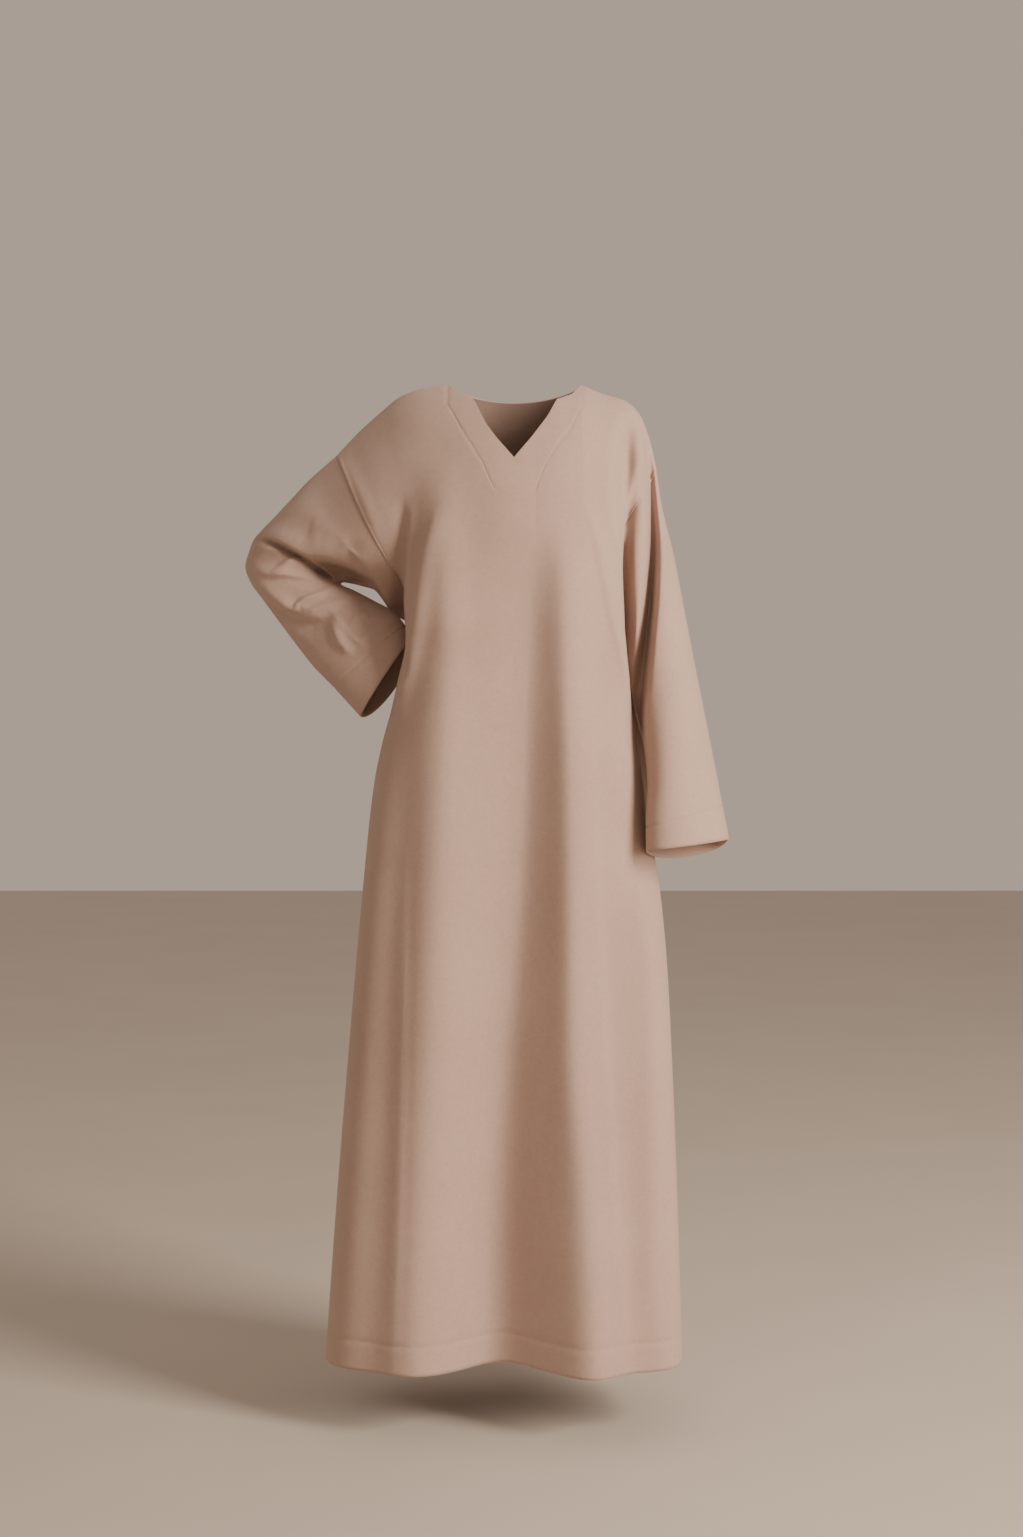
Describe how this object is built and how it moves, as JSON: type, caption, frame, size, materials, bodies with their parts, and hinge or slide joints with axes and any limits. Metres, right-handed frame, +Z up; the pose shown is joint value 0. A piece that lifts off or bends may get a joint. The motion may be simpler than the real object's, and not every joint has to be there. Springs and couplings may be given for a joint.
{
  "type": "abaya cloak",
  "caption": "Long closed abaya cloak with a slit V neck, dropped shoulders and wide sleeves, hollow as worn with the right hand on the hip.",
  "frame": {"origin": "midway between the two ends of the shoulder seams at the neck, where the shoulders carry the garment", "axes": "+Z up, -Y the way the wearer faces, +X towards the wearer's left"},
  "size_m": [0.7046, 0.3789, 1.4043],
  "materials": {
    "front_cloth": "matte brushed crepe with a faint twill",
    "back_cloth": "matte brushed crepe with a faint twill",
    "sleeve_right_cloth": "matte brushed crepe with a faint twill",
    "sleeve_left_cloth": "matte brushed crepe with a faint twill",
    "neck_facing_cloth": "matte brushed crepe with a faint twill"
  },
  "bodies": {
    "root": {"front": "front_cloth", "back": "back_cloth", "sleeve_right": "sleeve_right_cloth", "sleeve_left": "sleeve_left_cloth", "neck_facing": "neck_facing_cloth"}
  },
  "joints": []
}
